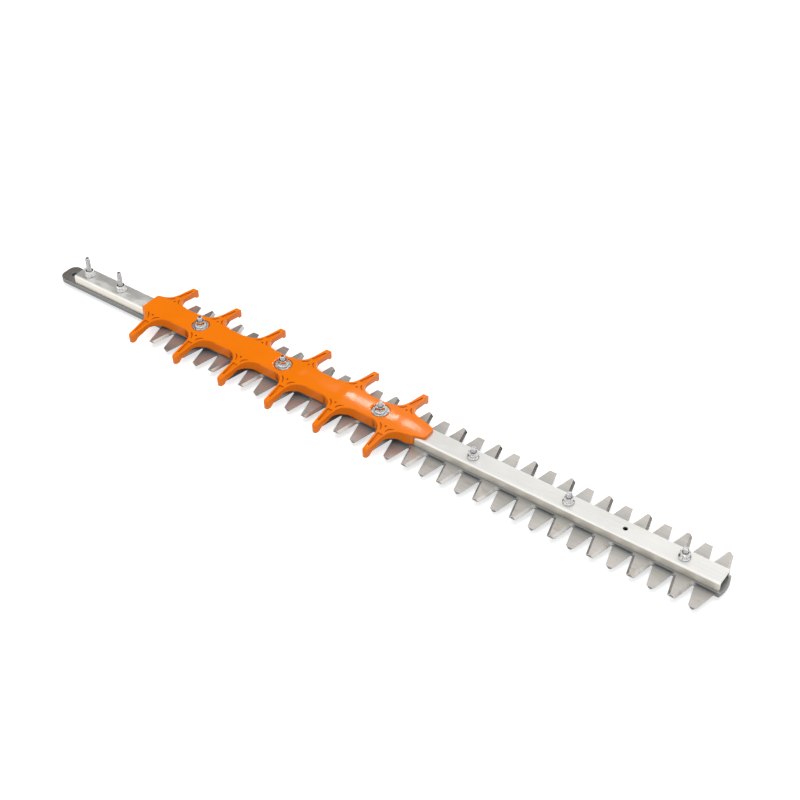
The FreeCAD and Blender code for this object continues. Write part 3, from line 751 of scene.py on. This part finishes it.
def joined(name, meshes, finish):
    """One mesh of several, with one finish."""
    work = bmesh.new()
    for mesh in meshes:
        work.from_mesh(mesh)
    for face in work.faces:
        face.material_index = 0
    whole = bpy.data.meshes.new(name)
    work.to_mesh(whole)
    work.free()
    whole.materials.append(finish)
    return whole


def place_master(name, mesh, nodes, finish):
    """Copies of a master mesh at the stations of CAD nodes, as one mesh."""
    master = new_piece(name + "_master", mesh)
    places = [station(n) for n in nodes]
    grown = grown_mesh(name, points_mesh(name + "_points", places), set_along_bar_tree(), {
        "Piece": master, "Seed": sizes().turn_seed, "Finish": finish})
    bpy.data.objects.remove(master)
    return grown


def dress(node, finish):
    """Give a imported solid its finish."""
    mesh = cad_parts[node].data
    mesh.materials.clear()
    mesh.materials.append(finish)


def screw_blank_mesh(top):
    """Head with a hexagon socket below and rounded rim, then the bearing collar, up to the stud's foot."""
    s = sizes()
    count = 48
    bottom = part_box(SCREWS[0])[0].z
    head_top = bottom + s.head_height

    def socket(angle):
        return hexagon_radius(s.socket_flats, angle)

    def plain(radius):
        return lambda angle: radius

    quarter_turn = (0.0, 0.52, 1.05, math.pi / 2)
    rim = [(s.head_radius - s.head_edge * (1 - math.sin(t)), bottom + s.head_edge * (1 - math.cos(t)))
           for t in quarter_turn]
    nip = s.head_edge / 3
    rings = [ring(count, bottom + s.socket_depth, socket), ring(count, bottom + nip, socket),
             ring(count, bottom, lambda a: socket(a) + nip)]
    rings += [ring(count, height, plain(radius)) for radius, height in rim]
    rings += [ring(count, head_top - nip, plain(s.head_radius)),
              ring(count, head_top, plain(s.head_radius - nip)),
              ring(count, head_top, plain(s.collar_radius)),
              ring(count, top - nip, plain(s.collar_radius)),
              ring(count, top, plain(s.collar_radius - nip))]
    return ring_mesh("screw_blank", rings, closed=False)


def nut_mesh(seat):
    """Hexagon nut with a chamfered crown, on a conical flange with a rounded rim."""
    s = sizes()
    count = 96
    height = NUT_TOP - NUT_SEAT
    bore_play, bore_chamfer = 0.00006, 0.0004
    bore = s.thread_radius + bore_play
    corner = s.nut_flats / math.sqrt(3)
    crown_share, crown_depth = 0.98, 0.0008
    crown = s.nut_flats / 2 * crown_share
    slope = math.tan(math.radians(30))
    rim, rim_round, rim_edge = 0.0009, 0.00025, 0.0002
    shoulder, cone_top = 0.0036, 0.0022

    def outer(level):
        cone = s.nut_flange + (shoulder - s.nut_flange) * (level - rim) / (cone_top - rim)
        crowned = min(corner, crown + (height - level) / slope)
        return lambda angle: max(min(hexagon_radius(s.nut_flats, angle), crowned), cone)

    levels = [rim + (cone_top - rim) * i / 8 for i in range(1, 9)]
    levels += [height - crown_depth * i / 6 for i in range(8, -1, -1)]
    rings = [ring(count, seat, lambda a: bore), ring(count, seat, lambda a: s.nut_flange - rim_round),
             ring(count, seat + rim_round, lambda a: s.nut_flange),
             ring(count, seat + rim - rim_edge, lambda a: s.nut_flange)]
    rings += [ring(count, seat + level, outer(level)) for level in levels]
    rings += [ring(count, seat + height, lambda a: bore + bore_chamfer),
              ring(count, seat + height - bore_chamfer, lambda a: bore)]
    return ring_mesh("flange_nut", rings, closed=True)


def eased(value, low, high):
    """A smooth rise from 0 at low to 1 at high."""
    share = min(1.0, max(0.0, (value - low) / (high - low)))
    return share * share * (3.0 - 2.0 * share)


def from_finger(x):
    """How far a place lies along the bar from the nearest finger's station."""
    s = sizes()
    half = s.finger_pitch / 2
    return (x - s.first_finger + half) % s.finger_pitch - half


def fuller_fingers(work):
    """Widen each finger on its swept side, most at a third of its length, and lean its tip that way."""
    s = sizes()
    for vert in work.verts:
        out = abs(vert.co.y) - s.guard_half
        side = math.copysign(1.0, vert.co.y)
        along = from_finger(vert.co.x) * side
        if out > 0.0 and along < s.finger_middle:
            share = eased(out, *SWELL_RISE) * (1.0 - SWELL_FADED * eased(out, *SWELL_FADE))
            vert.co.x -= side * s.finger_swell * share * eased(s.finger_middle - along, 0.0, SWELL_BLEND)
        vert.co.x -= side * s.finger_lean * eased(out, *LEAN_RISE)


def top_faces(work):
    """The flat faces of the guard's top."""
    return [f for f in work.faces if f.normal.z > 0.9999 and abs(f.verts[0].co.z - GUARD_TOP) < LEVEL]


def crowned_top(work):
    """Cut the guard's flat top into a grid and raise it to a low crown, prouder between finger pairs."""
    s = sizes()
    places = [vert.co.x for face in top_faces(work) for vert in face.verts]
    low, high = min(places), max(places)
    columns = int((high - low) / s.crown_grid)
    cuts = [((low + s.crown_grid * (i + 0.5), 0.0, 0.0), (1.0, 0.0, 0.0)) for i in range(columns)]
    rows = int(s.guard_half / s.crown_grid)
    cuts += [((0.0, s.crown_grid * i, 0.0), (0.0, 1.0, 0.0)) for i in range(-rows, rows + 1)]
    for place, across in cuts:
        faces = top_faces(work)
        edges = {edge for face in faces for edge in face.edges}
        verts = {vert for face in faces for vert in face.verts}
        bmesh.ops.bisect_plane(
            work, geom=[*verts, *edges, *faces], plane_co=place, plane_no=across, dist=1e-6)
    for vert in work.verts:
        if vert.co.z < GUARD_TOP - LEVEL or abs(vert.co.y) > s.guard_half:
            continue
        band = s.rib_height * (1.0 - eased(abs(from_finger(vert.co.x)), 0.0, s.rib_reach))
        vert.co.z += (s.guard_crown + band) * (1.0 - (vert.co.y / s.guard_half) ** 2)


def with_modifier(name, mesh, kind, **settings):
    """The plain mesh that one modifier makes of a mesh."""
    holder = new_piece(name, mesh)
    modifier = holder.modifiers.new(name, kind)
    for key, value in settings.items():
        setattr(modifier, key, value)
    depsgraph = bpy.context.evaluated_depsgraph_get()
    made = bpy.data.meshes.new_from_object(holder.evaluated_get(depsgraph), depsgraph=depsgraph)
    bpy.data.objects.remove(holder)
    return made


def whole_faces(work):
    """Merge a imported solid's loose triangles into whole faces."""
    bmesh.ops.remove_doubles(work, verts=work.verts, dist=1e-6)
    bmesh.ops.dissolve_limit(work, angle_limit=math.radians(1.0), verts=work.verts, edges=work.edges)


def guard_mesh():
    """The guard's own form with fuller fingers and a crowned top."""
    mesh = remade(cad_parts["finger_guard"].data.copy(), whole_faces)
    mesh = remade(mesh, fuller_fingers)
    mesh = remade(mesh, crowned_top)
    mesh.shade_smooth()
    mesh.set_sharp_from_angle(angle=math.radians(32))
    return with_modifier("evened", mesh, "WEIGHTED_NORMAL", mode="FACE_AREA", weight=50, keep_sharp=True)


class CUTTERBAR_OT_blades(bpy.types.Operator):
    """Give both blades their ground steel."""

    bl_idname = "cutterbar.blades"
    bl_label = "Dress Blades"

    def execute(self, context):
        finish = blade_steel()
        for node in ("upper_blade", "lower_blade"):
            dress(node, finish)
        return {"FINISHED"}


class CUTTERBAR_OT_rail(bpy.types.Operator):
    """Give the guide rail its drawn alloy."""

    bl_idname = "cutterbar.rail"
    bl_label = "Dress Rail"

    def execute(self, context):
        dress("guide_rail", rail_alloy())
        return {"FINISHED"}


class CUTTERBAR_OT_guard(bpy.types.Operator):
    """Mould the finger guard with fuller fingers and a crowned top."""

    bl_idname = "cutterbar.guard"
    bl_label = "Mould Guard"

    def execute(self, context):
        mesh = guard_mesh()
        mesh.materials.clear()
        mesh.materials.append(guard_plastic())
        piece = new_piece("moulded_guard", mesh)
        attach(piece, BAR)
        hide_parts("finger_guard")
        return {"FINISHED"}


class CUTTERBAR_OT_screws(bpy.types.Operator):
    """Make the collar screws with their threads."""

    bl_idname = "cutterbar.screws"
    bl_label = "Make Collar Screws"

    def execute(self, context):
        s = sizes()
        finish = zinc_plating()
        meshes = [place_master("screw_blanks", screw_blank_mesh(s.collar_top), SCREWS, finish)]
        heights = sorted({round(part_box(n)[1].z, 6) for n in SCREWS})
        for height in heights:
            members = [n for n in SCREWS if abs(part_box(n)[1].z - height) < LEVEL]
            base = points_mesh("stud_points", [station(n) for n in members])
            meshes.append(grown_mesh("studs", base, threaded_stud_tree(), {
                "Radius": s.thread_radius, "Pitch": s.thread_pitch, "Depth": s.thread_depth,
                "Lead": s.thread_lead, "Foot": s.collar_top, "Top": height, "Finish": finish}))
        whole = joined("collar_screws", meshes, finish)
        finish_normals(whole, 40.0)
        piece = new_piece("collar_screws", whole)
        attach(piece, BAR)
        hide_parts(*SCREWS)
        return {"FINISHED"}


class CUTTERBAR_OT_nuts(bpy.types.Operator):
    """Make the flange nuts."""

    bl_idname = "cutterbar.nuts"
    bl_label = "Make Flange Nuts"

    def execute(self, context):
        finish = bpy.data.materials["zinc_plating"]
        meshes = []
        for seat in sorted({round(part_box(n)[0].z, 6) for n in NUTS}):
            members = [n for n in NUTS if abs(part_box(n)[0].z - seat) < LEVEL]
            meshes.append(place_master("nuts", nut_mesh(seat), members, finish))
        whole = joined("flange_nuts", meshes, finish)
        finish_normals(whole, 28.0)
        piece = new_piece("flange_nuts", whole)
        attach(piece, BAR)
        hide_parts(*NUTS)
        return {"FINISHED"}


class CUTTERBAR_OT_washers(bpy.types.Operator):
    """Give the guard's washers and the glide washers their finishes."""

    bl_idname = "cutterbar.washers"
    bl_label = "Dress Washers"

    def execute(self, context):
        plating, glide = washer_plating(), glide_steel()
        for node in GUARD_WASHERS:
            dress(node, plating)
        for node in GLIDE_WASHERS:
            dress(node, glide)
        return {"FINISHED"}


def seen_rays(tree):
    """A mask of the rays that show the white surroundings: the camera's, reflected and transmitted ones."""
    path = add(tree, "ShaderNodeLightPath")
    seen = math_node(tree, "ADD", path.outputs["Is Camera Ray"], path.outputs["Is Glossy Ray"])
    return math_node(tree, "ADD", seen, path.outputs["Is Transmission Ray"], clamp=True)


def studio_world(level):
    """White for the camera and for reflections, an even plain level for the light on the bar."""
    world = bpy.data.worlds.new("studio")
    bpy.context.scene.world = world
    tree = empty_tree(world)
    seen = seen_rays(tree)
    background = add(tree, "ShaderNodeBackground")
    background.inputs["Color"].default_value = (1.0, 1.0, 1.0, 1.0)
    put(tree, spread(tree, seen, level, 1.0), background.inputs["Strength"])
    put(tree, background.outputs[0], add(tree, "ShaderNodeOutputWorld").inputs[0])


def floor_material(glow):
    """White floor that keeps shadows, with a share of its white shown to the camera and to reflections."""
    material = bpy.data.materials.new("studio_floor")
    tree = empty_tree(material)
    seen = seen_rays(tree)
    matte = add(tree, "ShaderNodeBsdfDiffuse")
    matte.inputs["Color"].default_value = (0.86, 0.86, 0.86, 1.0)
    light = add(tree, "ShaderNodeEmission")
    put(tree, math_node(tree, "MULTIPLY", seen, glow), light.inputs["Strength"])
    both = add(tree, "ShaderNodeAddShader")
    put(tree, matte.outputs[0], both.inputs[0])
    put(tree, light.outputs[0], both.inputs[1])
    put(tree, both.outputs[0], add(tree, "ShaderNodeOutputMaterial").inputs[0])
    return material


def flat_panel(name, width, height, matrix):
    """A flat stage panel of a given size at a place."""
    mesh = bpy.data.meshes.new(name)
    x, y = width / 2, height / 2
    mesh.from_pydata([(-x, -y, 0), (x, -y, 0), (x, y, 0), (-x, y, 0)], [], [(0, 1, 2, 3)])
    mesh.transform(matrix)
    panel = new_piece(name, mesh)
    return panel


def panel_place(place, along, target):
    """The place of a panel whose width runs along a line and which looks at a target."""
    side = Vector(along).normalized()
    back = Vector(place) - Vector(target)
    back = (back - side * back.dot(side)).normalized()
    turn = Matrix((side, back.cross(side), back)).transposed().to_4x4()
    return Matrix.Translation(Vector(place)) @ turn


def area_lamp(name, width, height, power, matrix):
    """A rectangular lamp that shines along its own -Z."""
    lamp = bpy.data.lights.new(name, "AREA")
    lamp.shape = "RECTANGLE"
    lamp.size, lamp.size_y = width, height
    lamp.energy = power
    holder = bpy.data.objects.new(name, lamp)
    bpy.context.scene.collection.objects.link(holder)
    holder.matrix_world = matrix
    return holder


def dark_card(name, width, height, matrix, shade):
    """A dark card that only reflections see."""
    card = flat_panel(name, width, height, matrix)
    card.visible_camera = card.visible_diffuse = card.visible_shadow = card.visible_transmission = False
    material = bpy.data.materials.new(name)
    tree = empty_tree(material)
    glow = add(tree, "ShaderNodeEmission")
    glow.inputs["Color"].default_value = (*shade, 1.0)
    put(tree, glow.outputs[0], add(tree, "ShaderNodeOutputMaterial").inputs[0])
    card.data.materials.append(material)
    return card


class CUTTERBAR_OT_stage(bpy.types.Operator):
    """Set the floor, the lamps and the camera."""

    bl_idname = "cutterbar.stage"
    bl_label = "Set Stage"

    def execute(self, context):
        values = stage_values()
        scene = context.scene
        scene.view_settings.view_transform = "Standard"
        studio_world(values.fill_level)
        floor_gap, floor_width = 0.0003, 12.0
        ground = Matrix.Translation((0.3, 0.0, CAD_BOX[0].z - floor_gap))
        floor = flat_panel("studio_floor", floor_width, floor_width, ground)
        floor.data.materials.append(floor_material(values.floor_glow))
        target = (0.36, 0.0, 0.0)
        along = (1.0, 0.16, 0.19)
        softbox_place = panel_place((-0.455, 1.10, 1.235), along, target)
        softbox = area_lamp("softbox", 0.155, 0.17, values.softbox_power, softbox_place)
        lit = bpy.data.collections.new("softbox_lit")
        lit.objects.link(bpy.data.objects["moulded_guard"])
        softbox.light_linking.receiver_collection = lit
        overhead = Matrix.Translation((0.35, 0.05, 1.9))
        area_lamp("top_lamp", 1.6, 1.2, values.top_power, overhead).visible_glossy = False
        card_place = panel_place((-1.78, 0.79, 0.94), along, target)
        dark_card("dark_card", 2.6, 2.2, card_place, (0.115, 0.105, 0.095))
        low_place = panel_place((1.57, 1.15, 0.25), (1.0, -0.6, 0.0), target)
        dark_card("low_card", 1.9, 0.52, low_place, (0.03, 0.03, 0.03))
        lens = bpy.data.cameras.new("camera")
        lens.lens = values.camera_lens
        lens.sensor_width = 36.0
        camera = bpy.data.objects.new("camera", lens)
        scene.collection.objects.link(camera)
        right = Vector((0.81727, 0.57625, -0.00326))
        up = Vector((-0.38078, 0.54427, 0.74751))
        back = Vector((0.43253, -0.60967, 0.66424))
        turn = Matrix((right, up, back)).transposed().to_4x4()
        camera.matrix_world = Matrix.Translation(Vector(values.camera_place)) @ turn
        lens.clip_start, lens.clip_end = 0.05, 50.0
        scene.camera = camera
        return {"FINISHED"}


class CUTTERBAR_PT_panel(bpy.types.Panel):
    """The steps that dress the cutter bar, with their sizes and colours."""

    bl_idname = "CUTTERBAR_PT_panel"
    bl_label = "Cutter Bar"
    bl_space_type = "VIEW_3D"
    bl_region_type = "UI"
    bl_category = "Cutter Bar"

    def draw(self, context):
        for step in STEPS:
            self.layout.operator(step.bl_idname)
        for group in (sizes(), finishes(), stage_values()):
            box = self.layout.box()
            for name in group.__annotations__:
                box.prop(group, name)


STEPS = (CUTTERBAR_OT_blades, CUTTERBAR_OT_rail, CUTTERBAR_OT_guard, CUTTERBAR_OT_screws,
         CUTTERBAR_OT_nuts, CUTTERBAR_OT_washers, CUTTERBAR_OT_stage)
GROUPS = {"cutter_bar_sizes": CutterBarSizes, "cutter_bar_finishes": CutterBarFinishes,
          "cutter_bar_stage": CutterBarStage}


def register():
    """Make the steps, the panel and their values known to Blender."""
    for cls in (*GROUPS.values(), *STEPS, CUTTERBAR_PT_panel):
        bpy.utils.register_class(cls)
    for name, group in GROUPS.items():
        setattr(bpy.types.Scene, name, PointerProperty(type=group))


def unregister():
    """Take them out again."""
    for name in GROUPS:
        delattr(bpy.types.Scene, name)
    for cls in reversed((*GROUPS.values(), *STEPS, CUTTERBAR_PT_panel)):
        bpy.utils.unregister_class(cls)


def main():
    """Dress every piece and set the stage."""
    register()
    bpy.ops.cutterbar.blades()
    bpy.ops.cutterbar.rail()
    bpy.ops.cutterbar.guard()
    bpy.ops.cutterbar.screws()
    bpy.ops.cutterbar.nuts()
    bpy.ops.cutterbar.washers()
    bpy.ops.cutterbar.stage()


if __name__ == "__main__":
    main()
